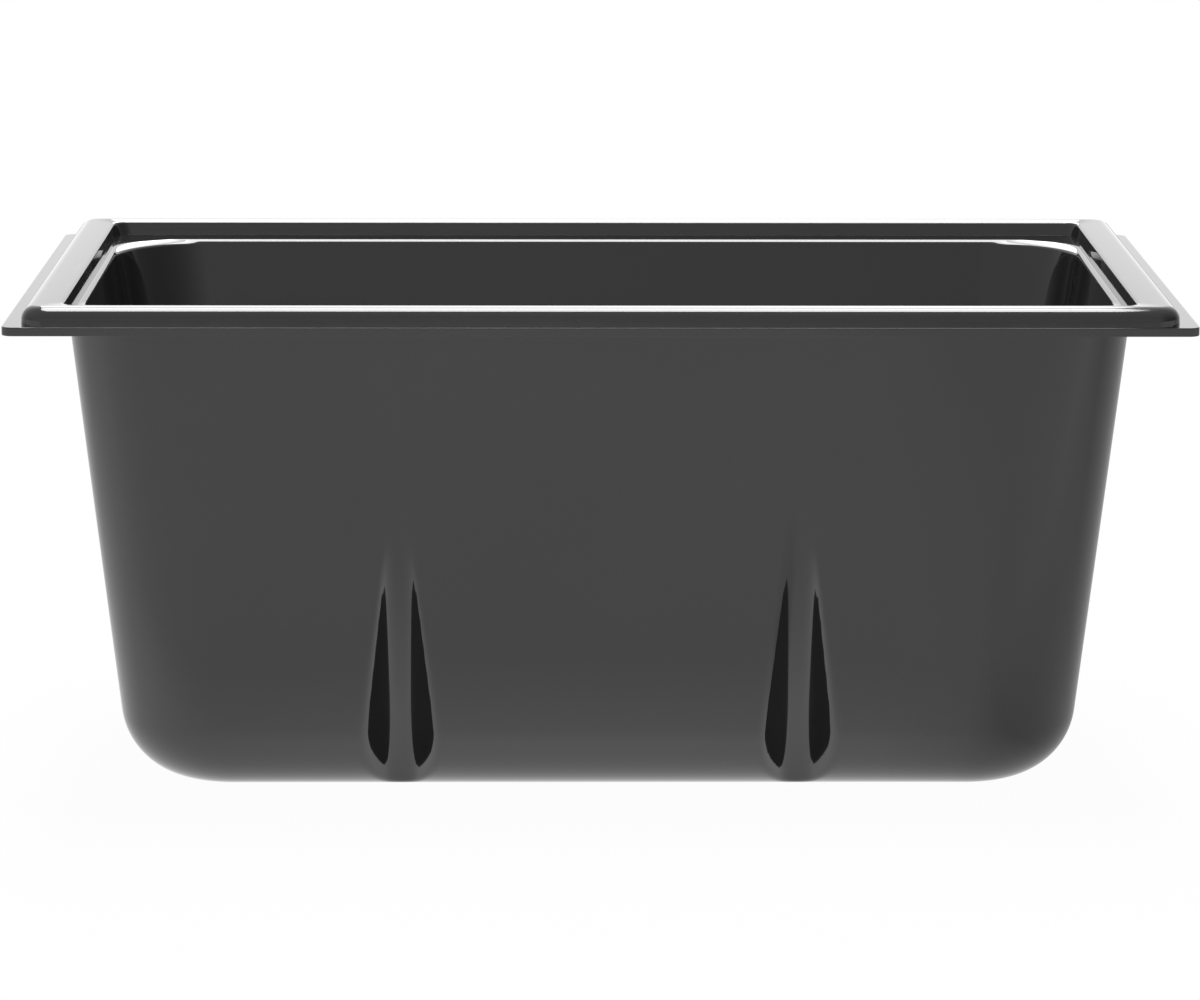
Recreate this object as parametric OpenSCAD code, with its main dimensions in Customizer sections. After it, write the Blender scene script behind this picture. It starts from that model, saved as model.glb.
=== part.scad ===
// Deep third-size food pan for a cold deli well.
// One moulding: a tapered bowl with a hanging flange, an arched rim bead
// around a shallow lid recess, and four anti-jam flutes low on its long walls.
// Origin: centre of the base. +X runs along the pan, +Y to its back, +Z up.

/* [Hanging flange] */
// Length of the flange, end to end
flange_l = 325; // [300:1:360]
// Width of the flange, front to back
flange_w = 176; // [165:1:210]
// Thickness of the flange
flange_t = 2.4; // [1.8:0.1:3.5]
// Radius of the flange's corners, seen from above
flange_corner_r = 3; // [1.5:0.5:5]

/* [Height and walls] */
// Height from the base to the top of the rim bead
pan_h = 144.1; // [120:0.1:165]
// Thickness of the walls at the mouth, measured level
mouth_t = 5.4; // [3:0.1:7]
// Thickness of the walls at the foot, measured level
wall_t = 4.4; // [3:0.1:6]
// Thickness of the floor
floor_t = 4.4; // [3:0.1:6]
// Draft of the walls, in degrees from upright
draft = 5.65; // [3:0.05:7]

/* [Rim bead] */
// Height of the bead above the flange
bead_h = 5.3; // [4.5:0.1:7]
// Width of the bead along the pan's ends
bead_end_w = 10.9; // [8:0.1:12]
// Width of the bead along the pan's long sides
bead_side_w = 8.25; // [6:0.05:10]
// Distance from the flange's ends to the bead
bead_setback = 5; // [2:0.5:8]
// Radius of the bead's outer corners, seen from above
bead_corner_r = 6; // [5:0.5:9]
// Radius of the rounding from the bead's outer face to its highest line
bead_round_r = 3.6; // [1.5:0.1:4]
// How far the bead's crown falls from its highest line to its inner edge
bead_crown_fall = 0.5; // [0.2:0.1:1]
// Width of the break along the bead's inner edge
bead_break = 0.6; // [0.3:0.1:1]

/* [Lid recess] */
// Height of the recess's floor above the flange
recess_rise = 1; // [0.5:0.05:2.5]
// Lean of the recess's walls along the long sides, in degrees from upright
recess_side_draft = 7.5; // [3:0.5:10]
// Lean of the recess's walls at the pan's ends, in degrees from upright
recess_end_draft = 12.5; // [5:0.5:20]
// Width of the recess's floor at the pan's ends, with the mouth's rounding
ledge_end_w = 2.45; // [2.15:0.05:6]
// Width of the recess's floor along the long sides, with the mouth's rounding
ledge_side_w = 10.6; // [6:0.05:12]
// Radius of the recess's corners, seen from above
recess_corner_r = 4.5; // [3:0.5:6]
// Radius of the rounding along the mouth's edge
mouth_edge_r = 1.6; // [1:0.1:2.1]
// Radius of the mouth's corners at the recess's floor, seen from above
mouth_corner_r = 14; // [12:0.5:24]

/* [Bowl] */
// Radius of the bowl's upright corners at the flange, outside
corner_r = 31; // [24:0.5:36]
// Radius of the bowl's upright corners at the foot, outside
foot_corner_r = 33; // [28:0.5:38]
// Radius of the rounding between the walls and the base, outside
foot_edge_r = 21.6; // [14:0.2:24]
// Depth of the shoulder inside, below the mouth's rounding
shoulder_depth = 19.5; // [12:0.5:30]
// How far the shoulder stands in from the drafted wall below it
shoulder_in = 2.25; // [0:0.05:3]

/* [Flutes] */
// Distance between the two flutes of one long wall
flute_pitch = 112; // [80:1:150]
// Height above the base at which the flutes start
flute_start = 85; // [60:1:95]
// How much deeper a flute gets for each millimetre down the wall
flute_slope = 0.14; // [0.08:0.01:0.16]
// Radius of a flute's floor
flute_floor_r = 5.8; // [4:0.1:8]
// Lean of a flute's flanks, in degrees from the wall
flute_flank = 50; // [40:1:60]

/* [Hidden] */

CORNER_STEPS = 9;               // straight pieces in a quarter circle seen from above
EDGE_STEPS = 7;                 // straight pieces in a quarter circle seen from the side
RIM_STEPS = 4;                  // the same for the roundings of the rim
CROWN_STEPS = 4;                // straight pieces over the bead's crown
CROWN_RUN = 1.4;                // how far the crown's shape runs on, in widths of the crown
FLUTE_STEPS = 8;                // straight pieces across a flute's floor
CUT = 1;                        // how far a cut runs past what it cuts

flange_top = pan_h - bead_h;
flange_bottom = flange_top - flange_t;
recess_z = flange_top + recess_rise;
taper = tan(draft);

bead_x = flange_l / 2 - bead_setback;
bead_y = flange_w / 2;

// The bead's inner edge, and the foot of the recess's walls below it.
edge_x = bead_x - bead_end_w;
edge_y = bead_y - bead_side_w;
edge_z = pan_h - bead_crown_fall;
recess_x = edge_x - tan(recess_end_draft) * (edge_z - recess_z);
recess_y = edge_y - tan(recess_side_draft) * (edge_z - recess_z);

// The walls are told by their half sizes level with the flange's top: at the mouth,
// outside, and inside below the shoulder.
mouth_x = recess_x - ledge_end_w;
mouth_y = recess_y - ledge_side_w;
mouth_z = recess_z - mouth_edge_r;
bowl_x = mouth_x + mouth_t;
bowl_y = mouth_y + mouth_t;
inner_x = bowl_x - wall_t;
inner_y = bowl_y - wall_t;

flute_flank_l = flange_w / 4;   // longer than any flank is wide
flute_run_up = 20;              // how far a wedge runs on past the ends of its flute

// Half sizes of a drafted wall at height z.
function at_height(half, z) = half - taper * (flange_top - z);

// A level rounded rectangle, anticlockwise from above, as 3-D points.
function section_points(s) =
    let (x = s[0], y = s[1], r = s[2], z = s[3])
    [for (q = [0:3], i = [0:CORNER_STEPS])
        let (
            a = 90 * (q + i / CORNER_STEPS),
            side_x = (q == 0 || q == 3) ? 1 : -1,
            side_y = (q < 2) ? 1 : -1
        )
        [side_x * (x - r) + r * cos(a), side_y * (y - r) + r * sin(a), z]];

// A solid through level rounded rectangles [half x, half y, corner radius, height], lowest first.
module loft(sections) {
    n = 4 * (CORNER_STEPS + 1);
    last = len(sections) - 1;
    points = [for (s = sections) each section_points(s)];
    sides = [for (k = [0:last - 1], i = [0:n - 1])
        let (j = (i + 1) % n)
        [k * n + i, (k + 1) * n + i, (k + 1) * n + j, k * n + j]];
    base = [for (i = [0:n - 1]) i];
    top = [for (i = [n - 1:-1:0]) last * n + i];
    polyhedron(points = points, faces = concat([base, top], sides));
}

// Sections of a drafted bowl's rounded foot on a base at height z0.
// half_x and half_y are the bowl's half sizes level with the flange's top.
function foot_sections(half_x, half_y, foot_r, edge_r, z0) =
    let (
        z_centre = z0 + edge_r,
        reach = edge_r / cos(draft),
        core_x = at_height(half_x, z_centre) - reach,
        core_y = at_height(half_y, z_centre) - reach,
        core_r = foot_r - edge_r
    )
    [for (i = [EDGE_STEPS:-1:0])
        let (
            a = draft + (90 - draft) * i / EDGE_STEPS,
            out = edge_r * cos(a)
        )
        [core_x + out, core_y + out, core_r + out, z_centre - edge_r * sin(a)]];

// One section of a drafted wall at height z, moved in a little where asked.
function wall_section(half_x, half_y, r, z, in = 0) =
    [at_height(half_x, z) - in, at_height(half_y, z) - in, r, z];

// Sections up the bead's outer face, round to its highest line and inwards over its crown.
// Past its inner edge the crown runs on, where the recess cuts it off.
function bead_sections() =
    let (
        top_x = bead_x - bead_round_r,
        top_y = bead_y - bead_round_r,
        top_r = bead_corner_r - bead_round_r
    )
    concat(
        [for (i = [0:RIM_STEPS])
            let (a = 90 * i / RIM_STEPS, out = bead_round_r * cos(a))
            [top_x + out, top_y + out, top_r + out, pan_h - bead_round_r * (1 - sin(a))]],
        [for (i = [1:CROWN_STEPS])
            let (s = CROWN_RUN * i / CROWN_STEPS)
            [
                top_x + (edge_x - top_x) * s,
                top_y + (edge_y - top_y) * s,
                top_r + (recess_corner_r - top_r) * s,
                pan_h - bead_crown_fall * s * s
            ]]
    );

// Sections that flare the mouth outwards, from the wall up to the recess's floor.
function mouth_sections(wall_r) =
    [for (i = [1:RIM_STEPS])
        let (
            a = 90 * i / RIM_STEPS,
            share = 1 - cos(a),
            out = mouth_edge_r * share
        )
        [
            at_height(mouth_x, mouth_z) + out,
            at_height(mouth_y, mouth_z) + out,
            wall_r + (mouth_corner_r - wall_r) * share,
            mouth_z + mouth_edge_r * sin(a)
        ]];

module flange() {
    loft([
        [flange_l / 2, flange_w / 2, flange_corner_r, flange_bottom],
        [flange_l / 2, flange_w / 2, flange_corner_r, flange_top]
    ]);
}

module bead_block() {
    loft(concat(
        [[bead_x, bead_y, bead_corner_r, flange_bottom + flange_t / 2]],
        bead_sections()
    ));
}

module lid_recess() {
    break_z = edge_z - bead_break;
    out_x = tan(recess_end_draft) * (break_z - recess_z);
    out_y = tan(recess_side_draft) * (break_z - recess_z);
    rise = pan_h + CUT - break_z;
    loft([
        [recess_x, recess_y, recess_corner_r, recess_z],
        [recess_x + out_x, recess_y + out_y, recess_corner_r, break_z],
        [recess_x + out_x + rise, recess_y + out_y + rise, recess_corner_r + rise, break_z + rise]
    ]);
}

// The V-shaped outline of a flute, its round floor towards -Y and its flanks opening towards +Y.
module flute_outline(floor_r) {
    floor_arc = [for (i = [0:FLUTE_STEPS])
        let (a = 270 + flute_flank * (2 * i / FLUTE_STEPS - 1))
        [floor_r * cos(a), floor_r * sin(a)]];
    end_x = floor_r * sin(flute_flank) + flute_flank_l * cos(flute_flank);
    end_y = -floor_r * cos(flute_flank) + flute_flank_l * sin(flute_flank);
    polygon(concat([[-end_x, end_y]], floor_arc, [[end_x, end_y]]));
}

// The wedges that cut the flutes. With a skin they reach deeper by it, and leave the ridges inside.
module flute_wedges(skin) {
    lean = atan(taper + flute_slope);
    length = flute_start / cos(lean) + 2 * flute_run_up;
    for (back = [0, 1], place = [-1, 1])
        mirror([0, back, 0])
            translate([place * flute_pitch / 2, -at_height(bowl_y, flute_start), flute_start])
                rotate([180 + lean, 0, 0])
                    translate([0, flute_floor_r, -flute_run_up])
                        linear_extrude(length)
                            flute_outline(flute_floor_r + skin);
}

module bowl_outside() {
    difference() {
        loft(concat(
            foot_sections(bowl_x, bowl_y, foot_corner_r, foot_edge_r, 0),
            [wall_section(bowl_x, bowl_y, corner_r, flange_bottom + flange_t / 2)]
        ));
        flute_wedges(0);
    }
}

module bowl_inside() {
    mouth_r = corner_r - mouth_t;
    shoulder_r = corner_r - wall_t - shoulder_in;
    shoulder_z = mouth_z - shoulder_depth;
    flare = mouth_sections(mouth_r);
    last = flare[RIM_STEPS - 1];
    difference() {
        loft(concat(
            foot_sections(inner_x, inner_y, foot_corner_r - wall_t, foot_edge_r - floor_t, floor_t),
            [wall_section(inner_x, inner_y, shoulder_r, shoulder_z, shoulder_in)],
            [wall_section(mouth_x, mouth_y, mouth_r, mouth_z)],
            flare,
            [[last[0], last[1], last[2], recess_z + CUT]]
        ));
        flute_wedges(wall_t);
    }
}

module food_pan() {
    color("#2f2f31")
        difference() {
            union() {
                bowl_outside();
                flange();
                bead_block();
            }
            lid_recess();
            bowl_inside();
        }
}

food_pan();
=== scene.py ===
# %% [markdown]
# # A glossy black deli food pan
#
# A deli food pan is one piece of moulded plastic: a deep tapered bowl that hangs by a
# flange in a cold well. It has no seams, screws or inserts, so its looks rest on three
# things: the true run of every rounding, the flutes low on the long walls, and a polished
# black surface that mirrors the studio. This lesson builds those three in that order.
#
# The measured solid comes first. It fixes the size and the place of the whole pan, and the
# skin that is built here has to fill the same box.

# %% Load the measured pan
import math

import bpy
from mathutils import Matrix, Vector


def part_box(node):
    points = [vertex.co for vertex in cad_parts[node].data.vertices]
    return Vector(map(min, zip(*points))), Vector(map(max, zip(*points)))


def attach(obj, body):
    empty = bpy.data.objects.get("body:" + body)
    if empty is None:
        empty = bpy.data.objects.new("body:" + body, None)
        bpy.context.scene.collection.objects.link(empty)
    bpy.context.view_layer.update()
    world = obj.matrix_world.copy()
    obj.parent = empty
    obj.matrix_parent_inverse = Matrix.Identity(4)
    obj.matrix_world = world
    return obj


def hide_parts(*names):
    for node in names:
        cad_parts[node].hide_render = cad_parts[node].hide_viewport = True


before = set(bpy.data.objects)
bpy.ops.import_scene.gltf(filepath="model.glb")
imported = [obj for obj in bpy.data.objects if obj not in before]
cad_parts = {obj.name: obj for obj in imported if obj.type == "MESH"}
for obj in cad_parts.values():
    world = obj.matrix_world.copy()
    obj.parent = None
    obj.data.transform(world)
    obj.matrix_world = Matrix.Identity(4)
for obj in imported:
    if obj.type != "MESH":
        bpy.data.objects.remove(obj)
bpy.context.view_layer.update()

low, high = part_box("food_pan")
print("measured pan, mm:", [round(1000 * (b - a), 1) for a, b in zip(low, high)])

# %% [markdown]
# ## Sizes
#
# The flange's length and width and the overall height are read from the measured solid.
# The other sizes are the moulding's own, in metres: what a toolmaker would write on the
# drawing. Everything else, such as where the mouth lies, is worked out from them. Sizes
# that end in `_x` and `_y` are half lengths and half widths, because the pan is alike on
# both sides of its middle.

# %% Sizes of the moulding
MM = 0.001

flange_x, flange_y, rim_z = high
flange_t = 2.4 * MM
flange_corner_r = 3 * MM
flange_edge_r = 0.2 * MM
neck_r = 1.2 * MM               # where the bowl meets the flange's underside

bead_h = 5.3 * MM               # the bead's top above the flange's
bead_end_w = 10.9 * MM
bead_side_w = 8.25 * MM
bead_setback = 5 * MM           # the bead stands this far inside the flange's ends
bead_side_step = 0.15 * MM      # and this little inside its long edges
bead_corner_r = 6 * MM
bead_round_r = 3.6 * MM
bead_crown_fall = 0.5 * MM
bead_break_r = 0.8 * MM

recess_rise = 1 * MM            # the recess's floor above the flange's top
recess_side_draft = math.radians(7.5)
recess_end_draft = math.radians(12.5)
recess_corner_r = 4.5 * MM
ledge_end_w = 2.45 * MM
ledge_side_w = 10.6 * MM
mouth_edge_r = 1.6 * MM
mouth_corner_r = 14 * MM
crease_r = 0.02 * MM            # inner corners of the rim, all but sharp

mouth_t = 5.4 * MM              # the wall at the mouth
wall_t = 4.4 * MM               # the wall at the foot
floor_t = 4.4 * MM
shoulder_depth = 19.5 * MM
shoulder_in = 2.25 * MM
draft = math.radians(5.65)
corner_r = 31 * MM
foot_corner_r = 33 * MM
foot_edge_r = 21.6 * MM

flange_top = rim_z - bead_h
flange_bottom = flange_top - flange_t
recess_z = flange_top + recess_rise
bead_x, bead_y = flange_x - bead_setback, flange_y
edge_x, edge_y, edge_z = bead_x - bead_end_w, bead_y - bead_side_w, rim_z - bead_crown_fall
recess_x = edge_x - math.tan(recess_end_draft) * (edge_z - recess_z)
recess_y = edge_y - math.tan(recess_side_draft) * (edge_z - recess_z)
mouth_x, mouth_y = recess_x - ledge_end_w, recess_y - ledge_side_w
mouth_z = recess_z - mouth_edge_r
print("mouth, mm:", round(2 * mouth_x / MM, 1), "x", round(2 * mouth_y / MM, 1))

# %% [markdown]
# ## The section, from the base to the floor of the bowl
#
# Cut the pan at any height and the outline is a rectangle with round corners. So the whole
# skin can be told by a list of rows, each with its half length, half width, corner radius
# and height: out over the base, round the foot, up the wall, around the flange and the
# bead, over the mouth's edge, and down the inside to the floor.
#
# A box with bevels would come close to this shape. But a bevel keeps one radius, and the
# corners of this bowl are 31 mm round at the flange and 33 mm at the foot, so each row
# states its own.
#
# Two helpers make the rows. `arc` rounds an edge, `run` goes straight. A straight run gets
# an extra row close to each end, which keeps the flat shading flat beside a rounding.

# %% Rows for roundings and straight runs
HOLD = 0.25 * MM                # how close to its ends a run has its holding rows
HOLD_SHARE = 0.2                # but never further in than this share of a short run


def arc(core, radius, start, end, steps):
    """Rows on an arc about a core (x, y, corner, z), from start to end degrees above level."""
    rows = []
    for i in range(steps + 1):
        a = math.radians(start + (end - start) * i / steps)
        out = radius * math.cos(a)
        rows.append((core[0] + out, core[1] + out, core[2] + out, core[3] + radius * math.sin(a)))
    return rows


def run(a, b, steps):
    """Rows between two rows, ends left out, with a holding row close to each end."""
    length = max(math.hypot(b[0] - a[0], b[3] - a[3]), math.hypot(b[1] - a[1], b[3] - a[3]))
    hold = min(HOLD / length, HOLD_SHARE)
    shares = [hold] + [i / steps for i in range(1, steps)] + [1 - hold]
    return [tuple(p + (q - p) * s for p, q in zip(a, b)) for s in shares]


def wall_at(half, z):
    """Half size of a drafted wall at height z, from its half size level with the flange's top."""
    return half - math.tan(draft) * (flange_top - z)


print("the wall leans in by, mm:", round((wall_at(0, flange_top) - wall_at(0, 0)) / MM, 1))

# %% [markdown]
# The bowl has an outside and an inside, one wall's thickness apart at the foot. A foot
# function serves both: it finds the middle of the rounding that touches the drafted wall
# and the base, so the outer wall flows into it with no break. The inner wall stands about
# a degree more upright, too little to show.

# %% Rows of a foot
DRAFT_DEG = math.degrees(draft)
CENTRE_X = 97 * MM              # the row in the middle of the base is a line of this half length
BASE_STEPS = 6
OUTER_FOOT_STEPS = 22
INNER_FOOT_STEPS = 18


def foot(half_x, half_y, foot_r, edge_r, base_z, steps):
    """Rows from the middle of the base, out and round the foot, to where the wall starts."""
    z = base_z + edge_r
    reach = edge_r / math.cos(draft)
    core = (wall_at(half_x, z) - reach, wall_at(half_y, z) - reach, foot_r - edge_r, z)
    rounding = arc(core, edge_r, -90, -DRAFT_DEG, steps)
    middle = (CENTRE_X, 0, 0, base_z)
    return [middle] + run(middle, rounding[0], BASE_STEPS) + rounding


bowl_x, bowl_y = mouth_x + mouth_t, mouth_y + mouth_t
inner_x, inner_y = bowl_x - wall_t, bowl_y - wall_t
outer_foot = foot(bowl_x, bowl_y, foot_corner_r, foot_edge_r, 0, OUTER_FOOT_STEPS)
inner_foot = foot(inner_x, inner_y, foot_corner_r - wall_t, foot_edge_r - floor_t, floor_t,
                  INNER_FOOT_STEPS)
flat_edge = outer_foot[-1 - OUTER_FOOT_STEPS]
print("flat of the base, mm:", round(2 * flat_edge[0] / MM), "x", round(2 * flat_edge[1] / MM))

# %% [markdown]
# The rim is a chain of small roundings. Each is told by its core, its radius and the angles
# that it turns through, in the order in which a finger would feel them. A profile swept
# round the pan would be the usual way, but it would be the same all round, and this bead is
# wider at the ends than along the sides.

# %% Cores of the flange and the bead's outer face
BEAD_DRAFT_DEG = 3.5


def core_of(x, y, corner, z, offset):
    """A core that lies offset inside a rounded rectangle, or outside it where offset is negative."""
    return (x - offset, y - offset, corner - offset, z)


neck = core_of(wall_at(bowl_x, flange_bottom), wall_at(bowl_y, flange_bottom), corner_r,
               flange_bottom - neck_r, -neck_r)
edge_low = core_of(flange_x, flange_y, flange_corner_r, flange_bottom + flange_edge_r, flange_edge_r)
edge_high = core_of(flange_x, flange_y, flange_corner_r, flange_top - flange_edge_r, flange_edge_r)
bead_foot = core_of(bead_x, bead_y - bead_side_step, bead_corner_r, flange_top + crease_r, -crease_r)
slope_in = (bead_h - bead_round_r) * math.tan(math.radians(BEAD_DRAFT_DEG))
bead_out = core_of(bead_x, bead_y - bead_side_step, bead_corner_r, rim_z - bead_round_r,
                   bead_round_r + slope_in)
print("bead, mm:", round(2 * bead_x / MM, 1), "x", round(2 * (bead_y - bead_side_step) / MM, 1))

# %% [markdown]
# The bead is an arch: from its highest line, close to the outside, it falls gently towards
# the recess. Its inner edge is only broken, not rounded, and the recess's walls lean out
# a little, as a core needs to leave the mould.
#
# The mouth's edge is rounded like the others, but its corners open up: tight where they
# meet the recess's floor and wide in the bowl, which leaves a crescent in each corner.

# %% Crown, recess and mouth
RECESS_DEG = math.degrees(recess_side_draft)
CROWN_DEG = 14                  # how far the crown leans where it meets its inner edge
BREAK_SINK = 0.8                # share of its radius that the break's core lies below that edge


def crown(apex, edge, steps):
    """Rows from the bead's highest line to its inner edge, level at first and then falling."""
    shares = [i / steps for i in range(1, steps)]
    return [tuple(p + (q - p) * s for p, q in zip(apex[:3], edge[:3]))
            + (apex[3] + (edge[3] - apex[3]) * s * s,) for s in shares]


def flared(x, y, wall_r, z, lean_deg, steps):
    """Rows round the mouth's edge, from the recess's floor down to the leaning wall."""
    rows = []
    for i in range(steps + 1):
        a = math.radians(90 + (lean_deg - 90) * i / steps)
        share = 1 - math.cos(a)
        rows.append((x + mouth_edge_r * share, y + mouth_edge_r * share,
                     wall_r + (mouth_corner_r - wall_r) * share, z + mouth_edge_r * math.sin(a)))
    return rows


mouth_r = corner_r - mouth_t
shoulder_r = corner_r - wall_t - shoulder_in
shoulder_z = mouth_z - shoulder_depth
shoulder = (wall_at(inner_x, shoulder_z) - shoulder_in, wall_at(inner_y, shoulder_z) - shoulder_in,
            shoulder_r, shoulder_z)
LEAN_DEG = math.degrees(math.atan((wall_at(mouth_x, mouth_z) - shoulder[0]) / shoulder_depth))

break_z = edge_z - BREAK_SINK * bead_break_r
break_x, break_y = [half + math.tan(lean) * (break_z - recess_z) + bead_break_r / math.cos(lean)
                    for half, lean in ((recess_x, recess_end_draft), (recess_y, recess_side_draft))]
bead_in = (break_x, break_y, recess_corner_r + bead_break_r, break_z)
recess_foot = core_of(recess_x, recess_y, recess_corner_r, recess_z + crease_r, crease_r)
print("recess, mm:", round(2 * recess_x / MM, 1), "x", round(2 * recess_y / MM, 1))
print("the wall under the mouth leans in, degrees:", round(LEAN_DEG, 1))

# %% [markdown]
# Now the rows are strung together. Between two roundings comes a straight run, so the
# chain is one loop over the roundings, each listed with the run that leads to it and the
# number of steps in that run.

# %% String the rows of the rim together
ROUND_STEPS = 14                # the two roundings that carry the brightest lines
CROWN_STEPS = 9
BREAK_STEPS = 7
NECK_STEPS = 5
EDGE_STEPS = 4                  # small edges and creases

bead_round = arc(bead_out, bead_round_r, BEAD_DRAFT_DEG, 90, ROUND_STEPS)
bead_break = arc(bead_in, bead_break_r, 90 + CROWN_DEG, 180 - RECESS_DEG, BREAK_STEPS)
bead_top = bead_round + crown(bead_round[-1], bead_break[0], CROWN_STEPS) + bead_break
mouth_edge = flared(wall_at(mouth_x, mouth_z), wall_at(mouth_y, mouth_z), mouth_r, mouth_z,
                    LEAN_DEG, ROUND_STEPS)
rim_chain = [
    ("underside", 6, arc(edge_low, flange_edge_r, -90, 0, EDGE_STEPS)),
    ("flange's edge", 2, arc(edge_high, flange_edge_r, 0, 90, EDGE_STEPS)),
    ("flange's top", 4, arc(bead_foot, crease_r, -90, -180 + BEAD_DRAFT_DEG, EDGE_STEPS)),
    ("bead's face", 3, bead_top),
    ("recess's wall", 3, arc(recess_foot, crease_r, -RECESS_DEG, -90, EDGE_STEPS)),
    ("ledge", 5, mouth_edge),
]

rim_rows = arc(neck, neck_r, 180 - DRAFT_DEG, 90, NECK_STEPS)
for name, steps, rounding in rim_chain:
    rim_rows += run(rim_rows[-1], rounding[0], steps) + rounding
print("straight runs:", ", ".join(name for name, steps, rounding in rim_chain))
print("rows in the rim:", len(rim_rows))

# %% [markdown]
# Inside, the wall has a soft shoulder: it leans in more near the mouth than it does lower
# down. `bend` rounds such a corner between two straight runs. The long runs of the walls
# get a row every 2 to 3 mm, because the flutes will press them in later.

# %% String the whole section together
BEND_REACH = 1 * MM
BEND_STEPS = 6
OUTER_WALL_STEPS = 54
MOUTH_WALL_STEPS = 8            # inside, from the mouth's edge down to the shoulder
INNER_WALL_STEPS = 38           # inside, from the shoulder down to the foot


def bend(a, corner, b, reach, steps):
    """Rows of a smooth bend at a corner between two straight runs, from a and to b."""
    def towards(end):
        share = reach / math.dist(corner, end)
        return [p + (q - p) * share for p, q in zip(corner, end)]
    start, finish = towards(a), towards(b)
    rows = []
    for i in range(steps + 1):
        t = i / steps
        rows.append(tuple(p * (1 - t) ** 2 + 2 * q * t * (1 - t) + r * t * t
                          for p, q, r in zip(start, corner, finish)))
    return rows


outer_rows = outer_foot + run(outer_foot[-1], rim_rows[0], OUTER_WALL_STEPS)
soft_shoulder = bend(rim_rows[-1], shoulder, inner_foot[-1], BEND_REACH, BEND_STEPS)
inner_rows = (run(rim_rows[-1], soft_shoulder[0], MOUTH_WALL_STEPS) + soft_shoulder
              + run(soft_shoulder[-1], inner_foot[-1], INNER_WALL_STEPS) + inner_foot[::-1])
rows = outer_rows + rim_rows + inner_rows
print("rows in the section:", len(rows))

# %% [markdown]
# ## The stations around the pan
#
# Every row is walked in the same way: round a corner, along a long side, round the next
# corner, along an end. A station says where on that walk a point lies, with numbers that
# hold for any row:
#
# - `shift`, a fixed distance along X, used on the long sides so that the columns of points
#   stay upright where the flutes cross them,
# - `side`, how far along the straight part it lies, from -1 to 1 in X and in Y,
# - `turn`, the direction in which the corner's radius points.
#
# The columns are closest together where a flute lies.

# %% Stations for one lap
CORNER_STEPS = 24
END_STEPS = 14
END_HOLD = 0.03                 # share of an end that its first and last stations stand in
FIXED_X = 92 * MM               # as far as the upright columns go
FLUTE_NEAR = 34 * MM            # the stretch of a long side that a flute lies in
FLUTE_FAR = 77 * MM
MIDDLE_STEPS = 5                # from the middle to that stretch
FLUTE_STEPS = 48                # through it
OUTSIDE_STEPS = 3               # and from there to FIXED_X
LEANING_SHARES = (0.25, 0.5, 0.75, 0.95)    # columns that lean with the corner, beyond FIXED_X


def between(a, b, steps):
    """Places from a to b in even steps, b left out."""
    return [a + (b - a) * i / steps for i in range(steps)]


def long_side():
    """Stations along half a long side, from its middle out: (shift, share of the rest)."""
    upright = (between(0.0, FLUTE_NEAR, MIDDLE_STEPS)
               + between(FLUTE_NEAR, FLUTE_FAR, FLUTE_STEPS)
               + between(FLUTE_FAR, FIXED_X, OUTSIDE_STEPS) + [FIXED_X])
    return [(x, 0.0) for x in upright] + [(FIXED_X * (1 - s), s) for s in LEANING_SHARES]


def corner(side_x, side_y, quarter):
    """Stations round one corner: (shift, side x, side y, turn x, turn y)."""
    lap = [math.radians(90 * (quarter + i / CORNER_STEPS)) for i in range(CORNER_STEPS + 1)]
    return [(0.0, side_x, side_y, math.cos(a), math.sin(a)) for a in lap]


def straight_long(sign):
    """Stations along the back (sign 1, towards -X) or the front (sign -1, towards +X)."""
    half = long_side()
    lap = half[:0:-1] + [(-x, -s) for x, s in half]
    return [(sign * x, sign * s, sign, 0.0, sign) for x, s in lap]


def straight_end(sign):
    """Stations along the left end (sign -1, towards -Y) or the right end (sign 1)."""
    lap = [END_HOLD] + [i / END_STEPS for i in range(1, END_STEPS)] + [1 - END_HOLD]
    return [(0.0, sign, sign * (2 * s - 1), sign, 0.0) for s in lap]


stations = (corner(1, 1, 0) + straight_long(1) + corner(-1, 1, 1) + straight_end(-1)
            + corner(-1, -1, 2) + straight_long(-1) + corner(1, -1, 3) + straight_end(1))
stations.append(stations[0])
print("stations in one lap:", len(stations))

# %% [markdown]
# ## Guides for the node tree
#
# Geometry Nodes will weave the rows and the stations into one skin. It reads them from a
# guide mesh that is never rendered: one point for each row and, after those, one for each
# station. A row's numbers sit in its point's position and in named attributes. They could
# be typed into the tree instead, but hundreds of numbers in sockets can't be read or
# changed, and here they follow from the sizes above.
#
# The walls also carry two marks: `fluted` is 1 where a flute may press the surface in, and
# `skin` is how far that surface lies behind the outside, which is nothing outside and one
# wall's thickness inside.

# %% Build the guide mesh
rim_start, rim_end = len(outer_rows), len(outer_rows) + len(rim_rows)
fluted = [float(not rim_start <= i < rim_end) for i in range(len(rows))]
skin_depth = [wall_t * (i >= rim_end) for i in range(len(rows))]


def add_values(mesh, name, values):
    """Gives each point of a mesh a number under a name."""
    mesh.attributes.new(name, "FLOAT", "POINT").data.foreach_set("value", values)


row_points = [(x, y, z) for x, y, r, z in rows]
station_points = [(shift, side_x, side_y) for shift, side_x, side_y, turn_x, turn_y in stations]
no_station, no_row = [0.0] * len(stations), [0.0] * len(rows)
guide_mesh = bpy.data.meshes.new("pan_guides")
guide_mesh.from_pydata(row_points + station_points, [], [])
add_values(guide_mesh, "corner", [r for x, y, r, z in rows] + no_station)
add_values(guide_mesh, "fluted", fluted + no_station)
add_values(guide_mesh, "skin", skin_depth + no_station)
add_values(guide_mesh, "turn_x", no_row + [station[3] for station in stations])
add_values(guide_mesh, "turn_y", no_row + [station[4] for station in stations])
print("guide points:", len(guide_mesh.vertices))

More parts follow.
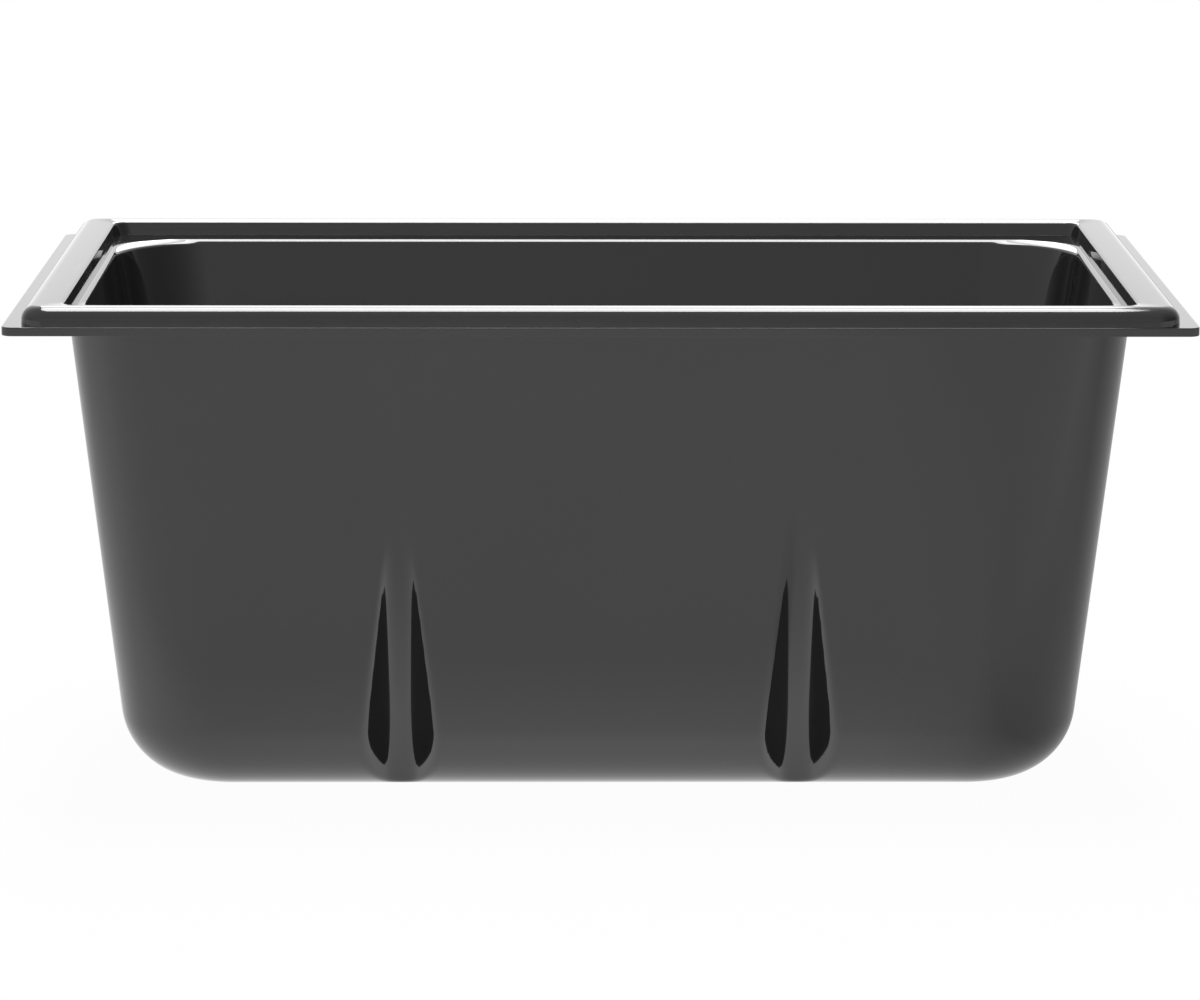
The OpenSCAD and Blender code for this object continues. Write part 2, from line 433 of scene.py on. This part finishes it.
# %% [markdown]
# ## A small language for node maths
#
# A tree with fifty Math nodes is hard to read when every node takes three lines. This
# helper makes one node a call, and lets a number, an input or another node's output stand
# in any place.

# %% Helpers that write Math nodes
class Maths:
    """Adds Math nodes to a tree: m.add(a, b), m.smooth_min(a, b, distance) and so on."""

    def __init__(self, tree):
        self.tree = tree

    def node(self, kind, **settings):
        made = self.tree.nodes.new(kind)
        for key, value in settings.items():
            setattr(made, key, value)
        return made

    def link(self, value, socket):
        if isinstance(value, bpy.types.NodeSocket):
            self.tree.links.new(value, socket)
        else:
            socket.default_value = value

    def __getattr__(self, operation):
        def call(*values):
            made = self.node("ShaderNodeMath", operation=operation.upper())
            for value, socket in zip(values, made.inputs):
                self.link(value, socket)
            return made.outputs[0]
        return call


operations = bpy.types.ShaderNodeMath.bl_rna.properties["operation"].enum_items
print("operations that a call can name:", len(operations))

# %% [markdown]
# ## The tree that weaves the skin
#
# The tree lays a grid with one line of points for each row and one column for each
# station, looks both up in the guides, and moves every point to its place:
#
# - x = shift + side x (half length - corner) + corner turn x
# - y = side y (half width - corner) + corner turn y
#
# It is the right tool here, because one rule places all the points, and the sizes of the
# flutes stay open as inputs that can be changed on the modifier.

# %% Start the tree, with named inputs
tree = bpy.data.node_groups.new("woven_pan", "GeometryNodeTree")
m = Maths(tree)
INPUTS = [
    ("Guides", "NodeSocketGeometry"),
    ("Rows", "NodeSocketInt"),
    ("Stations", "NodeSocketInt"),
    ("Flute Pitch", "NodeSocketFloat"),
    ("Flute Start", "NodeSocketFloat"),
    ("Flute Start Depth", "NodeSocketFloat"),
    ("Flute Lean", "NodeSocketFloat"),
    ("Flute Floor Radius", "NodeSocketFloat"),
    ("Flute Flank", "NodeSocketFloat"),
    ("Flute Rounding", "NodeSocketFloat"),
    ("Plastic", "NodeSocketMaterial"),
]
for label, kind in INPUTS:
    tree.interface.new_socket(label, in_out="INPUT", socket_type=kind)
tree.interface.new_socket("Pan", in_out="OUTPUT", socket_type="NodeSocketGeometry")
given = m.node("NodeGroupInput").outputs
print("inputs:", ", ".join(label for label, kind in INPUTS))

# %% [markdown]
# A grid numbers its points line by line, so a point's number, divided by the number of
# stations, gives its row, and what is left over gives its station. Half is added first, so
# that a whole result isn't rounded down by a hair.

# %% Look up a row and a station for every point of the grid
grid = m.node("GeometryNodeMeshGrid")
m.link(given["Rows"], grid.inputs["Vertices X"])
m.link(given["Stations"], grid.inputs["Vertices Y"])

index = m.node("GeometryNodeInputIndex").outputs[0]
row_index = m.floor(m.divide(m.add(index, 0.5), given["Stations"]))
station_index = m.subtract(index, m.multiply(row_index, given["Stations"]))
station_index = m.add(station_index, given["Rows"])


def sample(value, at, kind="FLOAT"):
    """A value of the guide point number at."""
    made = m.node("GeometryNodeSampleIndex", data_type=kind, domain="POINT")
    m.link(given["Guides"], made.inputs["Geometry"])
    m.link(value, made.inputs["Value"])
    m.link(m.round(at), made.inputs["Index"])
    return made.outputs[0]


def named(name, at):
    """A named attribute of the guide point number at."""
    made = m.node("GeometryNodeInputNamedAttribute", data_type="FLOAT")
    made.inputs["Name"].default_value = name
    return sample(made.outputs[0], at)


def parts(at):
    """The three numbers in the position of the guide point number at."""
    place = m.node("GeometryNodeInputPosition").outputs[0]
    split = m.node("ShaderNodeSeparateXYZ")
    m.link(sample(place, at, "FLOAT_VECTOR"), split.inputs[0])
    return split.outputs


half_x, half_y, height = parts(row_index)
shift, side_x, side_y = parts(station_index)
radius = named("corner", row_index)
print("nodes for the grid and the look-up:", len(tree.nodes))

# %% [markdown]
# With a row and a station in hand, each point follows the two rules above.

# %% Place every point on its rounded rectangle
x = m.add(m.add(shift, m.multiply(side_x, m.subtract(half_x, radius))),
          m.multiply(radius, named("turn_x", station_index)))
y = m.add(m.multiply(side_y, m.subtract(half_y, radius)),
          m.multiply(radius, named("turn_y", station_index)))
print("nodes so far:", len(tree.nodes))

# %% [markdown]
# ## Flutes pressed into the long walls
#
# A flute is a V with a round floor. Its floor is a straight line that leans in more than
# the wall does, so the flute starts at nothing half way down, grows deeper, and runs out
# in the foot's rounding. Seen from above, the surface may stand no further out than the V
# allows, and a smooth minimum of the two rounds the edges where they meet. A Boolean could
# cut the same V, but it would leave sharp edges and long thin triangles, and a glossy
# black wall shows both at once. Pressing the points in keeps the mesh even.
#
# Inside the bowl the same V, moved in by the wall's thickness, makes the matching ridge.

# %% Press the flutes in
across = m.absolute(m.subtract(m.absolute(x), m.multiply(given["Flute Pitch"], 0.5)))
skin = named("skin", row_index)
floor_r = m.add(given["Flute Floor Radius"], skin)
flank = given["Flute Flank"]
round_x = m.multiply(floor_r, m.sine(flank))
in_round = m.minimum(across, round_x)
round_rise = m.subtract(floor_r, m.sqrt(m.subtract(m.power(floor_r, 2), m.power(in_round, 2))))
flank_rise = m.multiply(m.maximum(m.subtract(across, round_x), 0), m.tangent(flank))

below_start = m.subtract(given["Flute Start"], height)
floor_y = m.subtract(given["Flute Start Depth"], m.multiply(below_start, given["Flute Lean"]))
allowed = m.add(m.subtract(floor_y, skin), m.add(round_rise, flank_rise))
plain = m.absolute(y)
pressed = m.smooth_min(plain, allowed, given["Flute Rounding"])
change = m.multiply(m.subtract(pressed, plain), named("fluted", row_index))
y = m.multiply(m.sign(y), m.add(plain, change))
print("nodes with the flutes:", len(tree.nodes))

# %% [markdown]
# The last station is the first one again, and the middle rows of the base and the floor
# fold onto themselves, so points that meet are welded. The grid faces inwards as it is
# laid, so its faces are flipped, and then it is shaded smooth.

# %% Join the skin, smooth it and give it its material
WELD_REACH = 0.005 * MM

place = m.node("ShaderNodeCombineXYZ")
for value, socket in zip((x, y, height), place.inputs):
    m.link(value, socket)
moved = m.node("GeometryNodeSetPosition")
m.link(grid.outputs["Mesh"], moved.inputs["Geometry"])
m.link(place.outputs[0], moved.inputs["Position"])
welded = m.node("GeometryNodeMergeByDistance")
m.link(moved.outputs[0], welded.inputs["Geometry"])
welded.inputs["Distance"].default_value = WELD_REACH
flipped = m.node("GeometryNodeFlipFaces")
m.link(welded.outputs[0], flipped.inputs[0])
smooth = m.node("GeometryNodeSetShadeSmooth")
m.link(flipped.outputs[0], smooth.inputs["Geometry"])
real = m.node("GeometryNodeRealizeInstances")
m.link(smooth.outputs[0], real.inputs["Geometry"])
finish = m.node("GeometryNodeSetMaterial")
m.link(real.outputs[0], finish.inputs["Geometry"])
m.link(given["Plastic"], finish.inputs["Material"])
m.link(finish.outputs[0], m.node("NodeGroupOutput").inputs["Pan"])
math_nodes = [node for node in tree.nodes if node.bl_idname == "ShaderNodeMath"]
print("nodes in the tree:", len(tree.nodes), "of which Math:", len(math_nodes))

# %% [markdown]
# ## Polished black plastic
#
# The plastic is near black and shines by its own polish: what shows is mostly the studio,
# mirrored weakly head on and strongly at a glancing angle. A Principled shader does that
# with its plain refractive index. A clear coat on top would double the gloss, and the pan
# isn't lacquered.

# %% Helpers for shader trees
def new_material(name):
    """An empty material, with a helper for its tree."""
    material = bpy.data.materials.new(name)
    material.use_nodes = True
    material.node_tree.nodes.clear()
    return material, Maths(material.node_tree)


def noise(s, coordinates, scale, detail, stretch=(1, 1, 1)):
    """Soft noise over the object, stretched along an axis where asked."""
    mapping = s.node("ShaderNodeMapping")
    s.link(coordinates, mapping.inputs["Vector"])
    mapping.inputs["Scale"].default_value = stretch
    made = s.node("ShaderNodeTexNoise")
    s.link(mapping.outputs[0], made.inputs["Vector"])
    made.inputs["Scale"].default_value = scale
    made.inputs["Detail"].default_value = detail
    return made.outputs["Fac"]


def spread(s, value, source, target):
    """Stretches a range of a value to another range, held at its ends."""
    made = s.node("ShaderNodeMapRange")
    for number, socket in zip((value, *source, *target), made.inputs):
        s.link(number, socket)
    return made.outputs[0]


print("helpers:", ", ".join(helper.__name__ for helper in (new_material, noise, spread)))

# %% [markdown]
# Three fine layers keep the plastic from looking like a computer's:
#
# - a slight flow cloudiness in the colour, left by the melt,
# - a roughness that drifts over centimetres, as handling and washing leave it, with faint
#   hairline scuffs that are a little duller,
# - a long, very shallow orange peel, which makes the reflections breathe.

# %% Mix the plastic
DARK = (0.0145, 0.0145, 0.0165, 1)
LIGHT = (0.0175, 0.0175, 0.0195, 1)
CLOUD_NOISE = (0.3, 0.7)        # the stretch of the noise from all dark to all light
DRIFT_NOISE = (0.35, 0.75)
DRIFT = (0.03, 0.07)            # roughness, at its least and at its most
SCUFF_NOISE = (0.68, 0.8)       # only the noise's highest ridges are scuffs
SCUFF = (0.0, 0.08)             # roughness that a scuff adds
SCUFF_RUNS = ((0.02, 1, 1), (1, 0.03, 0.6), (0.7, 1, 0.025))    # along X, along Y, upright
PEEL_DEPTH = 0.004 * MM
PLASTIC_IOR = 1.58


def black_plastic():
    """Near black, glossy, with a little cloud, drift, scuff and orange peel."""
    material, s = new_material("polished_black_plastic")
    where = s.node("ShaderNodeTexCoord").outputs["Object"]

    cloud = spread(s, noise(s, where, scale=14, detail=3), CLOUD_NOISE, (0.0, 1.0))
    colour = s.node("ShaderNodeMix", data_type="RGBA")
    s.link(cloud, colour.inputs["Factor"])
    colour.inputs[6].default_value = DARK
    colour.inputs[7].default_value = LIGHT

    drift = spread(s, noise(s, where, scale=28, detail=4), DRIFT_NOISE, DRIFT)
    hairs = [spread(s, noise(s, where, scale=900, detail=1, stretch=stretch), SCUFF_NOISE, SCUFF)
             for stretch in SCUFF_RUNS]
    scuffs = s.maximum(hairs[0], s.maximum(hairs[1], hairs[2]))

    peel = s.node("ShaderNodeBump")
    peel.inputs["Distance"].default_value = PEEL_DEPTH
    s.link(noise(s, where, scale=110, detail=1), peel.inputs["Height"])

    shader = s.node("ShaderNodeBsdfPrincipled")
    s.link(colour.outputs[2], shader.inputs["Base Color"])
    s.link(s.add(drift, scuffs), shader.inputs["Roughness"])
    s.link(peel.outputs[0], shader.inputs["Normal"])
    shader.inputs["IOR"].default_value = PLASTIC_IOR
    s.link(shader.outputs[0], s.node("ShaderNodeOutputMaterial").inputs["Surface"])
    return material


plastic = black_plastic()
print("material:", plastic.name)

# %% [markdown]
# ## Weave the pan
#
# The flutes get their sizes here, as inputs of the modifier, which are set by their
# sockets' identifiers before the tree runs. The result is then turned into a plain mesh,
# so that the piece is like any other and its modifier is gone.

# %% Run the tree and keep its mesh
flute_start = 85 * MM           # height above the base
flute_slope = 0.14              # depth gained for each length down
values = {
    "Rows": len(rows),
    "Stations": len(stations),
    "Flute Pitch": 112 * MM,
    "Flute Start": flute_start,
    "Flute Start Depth": wall_at(bowl_y, flute_start),
    "Flute Lean": math.tan(draft) + flute_slope,
    "Flute Floor Radius": 5.8 * MM,
    "Flute Flank": math.radians(50),
    "Flute Rounding": 2.2 * MM,
    "Plastic": plastic,
}


def woven(name, guides, group, settings):
    """The piece that a node group makes of a guide mesh, as a plain mesh."""
    carrier = bpy.data.objects.new(name + "_guides", guides)
    bpy.context.scene.collection.objects.link(carrier)
    modifier = carrier.modifiers.new("weave", "NODES")
    modifier.node_group = group
    for item in group.interface.items_tree:
        if item.in_out == "INPUT" and item.name in settings:
            modifier[item.identifier] = settings[item.name]
    depsgraph = bpy.context.evaluated_depsgraph_get()
    mesh = bpy.data.meshes.new_from_object(carrier.evaluated_get(depsgraph))
    carrier.modifiers.remove(modifier)
    bpy.data.objects.remove(carrier)
    mesh.name = name
    piece = bpy.data.objects.new(name, mesh)
    bpy.context.scene.collection.objects.link(piece)
    return piece


pan = woven("moulded_pan", guide_mesh, tree, values)
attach(pan, "root")
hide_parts("food_pan")
print("pan:", len(pan.data.vertices), "points,", len(pan.data.polygons), "faces")

# %% [markdown]
# ## The studio
#
# Gloss black shows nothing but its surroundings, so the studio is part of the finish: a
# white floor, a bright back, a dimmer front and right, and two soft boxes, one behind and
# one overhead, that draw the bright lines along the rim. A picture of a real studio,
# wrapped round the scene, is the usual way. Floor, room and lamps that are built instead
# can each be set by themselves.
#
# The floor looks white to the camera, and keeps a share of its real shade, so the pan
# still has its contact shadow. In the plastic's reflections its glow is painted unevenly,
# as a real floor would be lit: painted shade under the pan and beyond its ends, most of
# all to the right, and a painted pool of light close in front.

# %% Floor
FLOOR_SIZE = 6
FLOOR_Z = -0.1 * MM             # just clear of the base, so that the two never share a plane
PLAIN_SHARE = 0.97              # how much of the floor's look is plain white
FLOOR_MIRRORED = 1.05           # its strength in reflections, before the shades below
PAINT = (0.8, 0.8, 0.8, 1)
OVAL = 1.9                      # the pool of light round the pan is this much longer than wide
POOL_FALL = 1.5                 # how sharply that pool falls off


def blend(s, share, first, second):
    """Two shaders in one, with a share of the second."""
    made = s.node("ShaderNodeMixShader")
    for value, socket in zip((share, first, second), made.inputs):
        s.link(value, socket)
    return made.outputs[0]


def floor_in_reflections(s, x, y):
    """Strength of the floor at a place, as the plastic mirrors it.

    Each spread goes from a stretch in metres to the light gained or lost along it.
    """
    # Painted shade at the ends and under the pan, and a painted pool of light in front, all in the
    # floor's glow
    right = s.multiply(spread(s, x, (0.1, 0.14), (0, 1)), spread(s, y, (-0.15, 0.0), (0.1, 0.52)))
    left = s.multiply(spread(s, x, (-0.16, -0.1), (1, 0)), spread(s, y, (-0.05, 0.15), (0, 0.3)))
    reach = s.sqrt(s.add(s.power(s.divide(x, OVAL), 2), s.power(y, 2)))
    close = s.power(spread(s, reach, (0.06, 0.16), (1, 0)), POOL_FALL)
    in_front = s.multiply(close, spread(s, y, (-0.08, -0.03), (0.8, 0)))
    near = s.multiply(in_front, spread(s, x, (0.08, 0.14), (1, 0)))
    under = spread(s, reach, (0.038, 0.046), (0.4, 0))
    return s.subtract(s.add(FLOOR_MIRRORED, near), s.add(under, s.maximum(left, right)))


def white_floor():
    """White to the camera, shaded in reflections, painted for all other light."""
    material, s = new_material("white_floor")
    ray = s.node("ShaderNodeLightPath").outputs
    glossy = ray["Is Glossy Ray"]
    share = s.multiply(s.maximum(ray["Is Camera Ray"], glossy), PLAIN_SHARE)
    paint = s.node("ShaderNodeBsdfDiffuse")
    paint.inputs["Color"].default_value = PAINT

    split = s.node("ShaderNodeSeparateXYZ")
    s.link(s.node("ShaderNodeTexCoord").outputs["Object"], split.inputs[0])
    mirrored = floor_in_reflections(s, split.outputs[0], split.outputs[1])
    glow = s.node("ShaderNodeEmission")
    s.link(s.add(s.subtract(1, glossy), s.multiply(glossy, mirrored)), glow.inputs["Strength"])
    surface = blend(s, share, paint.outputs[0], glow.outputs[0])
    s.link(surface, s.node("ShaderNodeOutputMaterial").inputs["Surface"])
    return material


half = FLOOR_SIZE / 2
corners = [(x * half, y * half, FLOOR_Z) for x, y in ((-1, -1), (1, -1), (1, 1), (-1, 1))]
floor_mesh = bpy.data.meshes.new("floor")
floor_mesh.from_pydata(corners, [], [(0, 1, 2, 3)])
floor_mesh.materials.append(white_floor())
floor = bpy.data.objects.new("floor", floor_mesh)
bpy.context.scene.collection.objects.link(floor)
print("floor:", FLOOR_SIZE, "m square")

# %% [markdown]
# The world does three jobs. To the camera it is plain white. For light it is an even pale
# grey. For reflections it is a room: the squares of a direction's three parts add up to
# one, so they weigh how much of the back, the sides and the ceiling that direction sees,
# with no seams between them. The back is brightest, the front is dimmer, and the right is
# dimmest and stays dim on its way round to the front.

# %% World
EVEN_LIGHT = 0.35
ROOM_BACK = 1.9
FRONT_BY_HEIGHT = ((0.0, 0.9), (0.1, 1.0), (0.18, 0.9), (0.7, 0.78), (1.0, 0.6))
SIDE_HEIGHTS = (0.12, 0.45)     # the sides change from low to high between these
SIDES_BY_HEIGHT = (0.8, 1.0)
RIGHT_DIMMED = (0.7, 0.5)       # share that the right side loses, low and high
CORNER_DIMMED = 0.42            # share that the room loses between its right and its front
GREY = (0.8, 0.8, 0.8, 1)
WHITE = (1, 1, 1, 1)


def background(s, colour, strength):
    """Light from all round, of one colour."""
    made = s.node("ShaderNodeBackground")
    made.inputs["Color"].default_value = colour
    s.link(strength, made.inputs["Strength"])
    return made.outputs[0]


def front_by_height(s, z):
    """Strength of the room's front, on a curve over the height."""
    made = s.node("ShaderNodeFloatCurve")
    s.link(z, made.inputs["Value"])
    curve = made.mapping.curves[0]
    curve.points[0].location = FRONT_BY_HEIGHT[0]
    curve.points[1].location = FRONT_BY_HEIGHT[-1]
    for place in FRONT_BY_HEIGHT[1:-1]:
        curve.points.new(*place)
    return made.outputs[0]


def room_in_reflections(s, x, y, z):
    """Strength of the room in a direction, as the plastic mirrors it."""
    behind = s.greater_than(y, 0)
    right = s.greater_than(x, 0)
    front = s.multiply(s.subtract(1, behind), front_by_height(s, z))
    y_part = s.add(s.multiply(behind, ROOM_BACK), front)
    dim = s.multiply(right, spread(s, z, SIDE_HEIGHTS, RIGHT_DIMMED))
    x_part = s.multiply(s.subtract(1.0, dim), spread(s, z, SIDE_HEIGHTS, SIDES_BY_HEIGHT))
    room = s.add(s.multiply(s.power(y, 2), y_part), s.multiply(s.power(x, 2), x_part))
    room = s.add(room, s.power(z, 2))
    aside = s.multiply(right, s.maximum(s.multiply(s.multiply(x, y), -2), 0))
    return s.multiply(room, s.subtract(1, s.multiply(aside, CORNER_DIMMED)))


def studio_world():
    """Even light, a room in reflections, white to the camera."""
    world = bpy.data.worlds.new("studio")
    world.use_nodes = True
    world.node_tree.nodes.clear()
    s = Maths(world.node_tree)
    split = s.node("ShaderNodeSeparateXYZ")
    s.link(s.node("ShaderNodeTexCoord").outputs["Generated"], split.inputs[0])
    ray = s.node("ShaderNodeLightPath").outputs
    even = background(s, GREY, EVEN_LIGHT)
    mirrored = background(s, GREY, room_in_reflections(s, *split.outputs))
    lit = blend(s, ray["Is Glossy Ray"], even, mirrored)
    seen = s.maximum(ray["Is Camera Ray"], ray["Is Transmission Ray"])
    surface = blend(s, seen, lit, background(s, WHITE, 1.0))
    s.link(surface, s.node("ShaderNodeOutputWorld").inputs["Surface"])
    return world


bpy.context.scene.world = studio_world()
print("world:", bpy.context.scene.world.name)

# %% [markdown]
# The soft boxes stand on one arc, from the floor behind the pan up over it, and face the
# pan. Each is told by the angles that it spans on that arc and by how bright it looks: a
# lamp of radiance L and area A gives pi L A watts.

# %% Soft boxes
LAMP_DISTANCE = 3.0
LAMP_AIM = Vector((0, 0, 0.14))
BOX_WIDTH = 1.04
SOFT_BOXES = (("back", 15, 60, 5), ("overhead", 60, 100, 13))   # from and to degrees, radiance


def soft_box(name, place, aim, size, watts):
    """A rectangular lamp at a place, turned to face a point."""
    lamp = bpy.data.lights.new(name, "AREA")
    lamp.shape = "RECTANGLE"
    lamp.size, lamp.size_y = size
    lamp.energy = watts
    made = bpy.data.objects.new(name, lamp)
    made.location = place
    made.rotation_euler = (Vector(aim) - Vector(place)).to_track_quat("-Z", "Y").to_euler()
    bpy.context.scene.collection.objects.link(made)
    return made


for name, low_deg, high_deg, radiance in SOFT_BOXES:
    middle = math.radians((low_deg + high_deg) / 2)
    depth = 2 * LAMP_DISTANCE * math.tan(math.radians(high_deg - low_deg) / 2)
    place = LAMP_AIM + LAMP_DISTANCE * Vector((0, math.cos(middle), math.sin(middle)))
    watts = radiance * math.pi * BOX_WIDTH * depth
    soft_box(name, place, LAMP_AIM, (BOX_WIDTH, depth), watts)
    print("soft box", name, "is", round(depth, 2), "m deep and gives", round(watts), "W")

# %% [markdown]
# ## Camera
#
# The view is a long lens a good metre and a third away, a finger's breadth left of centre
# and looking down a little. A short lens close by would swell the near rim, so that its
# taper hid the pan's own.

# %% Camera
SENSOR_MM = 36
LENS_MM = 142.05
CAMERA_PLACE = (-0.01279, -1.3529, flange_top + 0.2094)
CAMERA_DOWN = math.radians(11.480)
CAMERA_RIGHT = math.radians(0.567)
CAMERA_ROLL = math.radians(0.124)

camera_data = bpy.data.cameras.new("camera")
camera_data.sensor_width = SENSOR_MM
camera_data.lens = LENS_MM
camera = bpy.data.objects.new("camera", camera_data)
turn = (Matrix.Rotation(-CAMERA_RIGHT, 4, "Z") @ Matrix.Rotation(math.pi / 2 - CAMERA_DOWN, 4, "X")
        @ Matrix.Rotation(CAMERA_ROLL, 4, "Z"))
camera.matrix_world = Matrix.Translation(CAMERA_PLACE) @ turn
bpy.context.scene.collection.objects.link(camera)
bpy.context.scene.camera = camera
bpy.context.scene.view_settings.view_transform = "Standard"
print("lens:", LENS_MM, "mm")
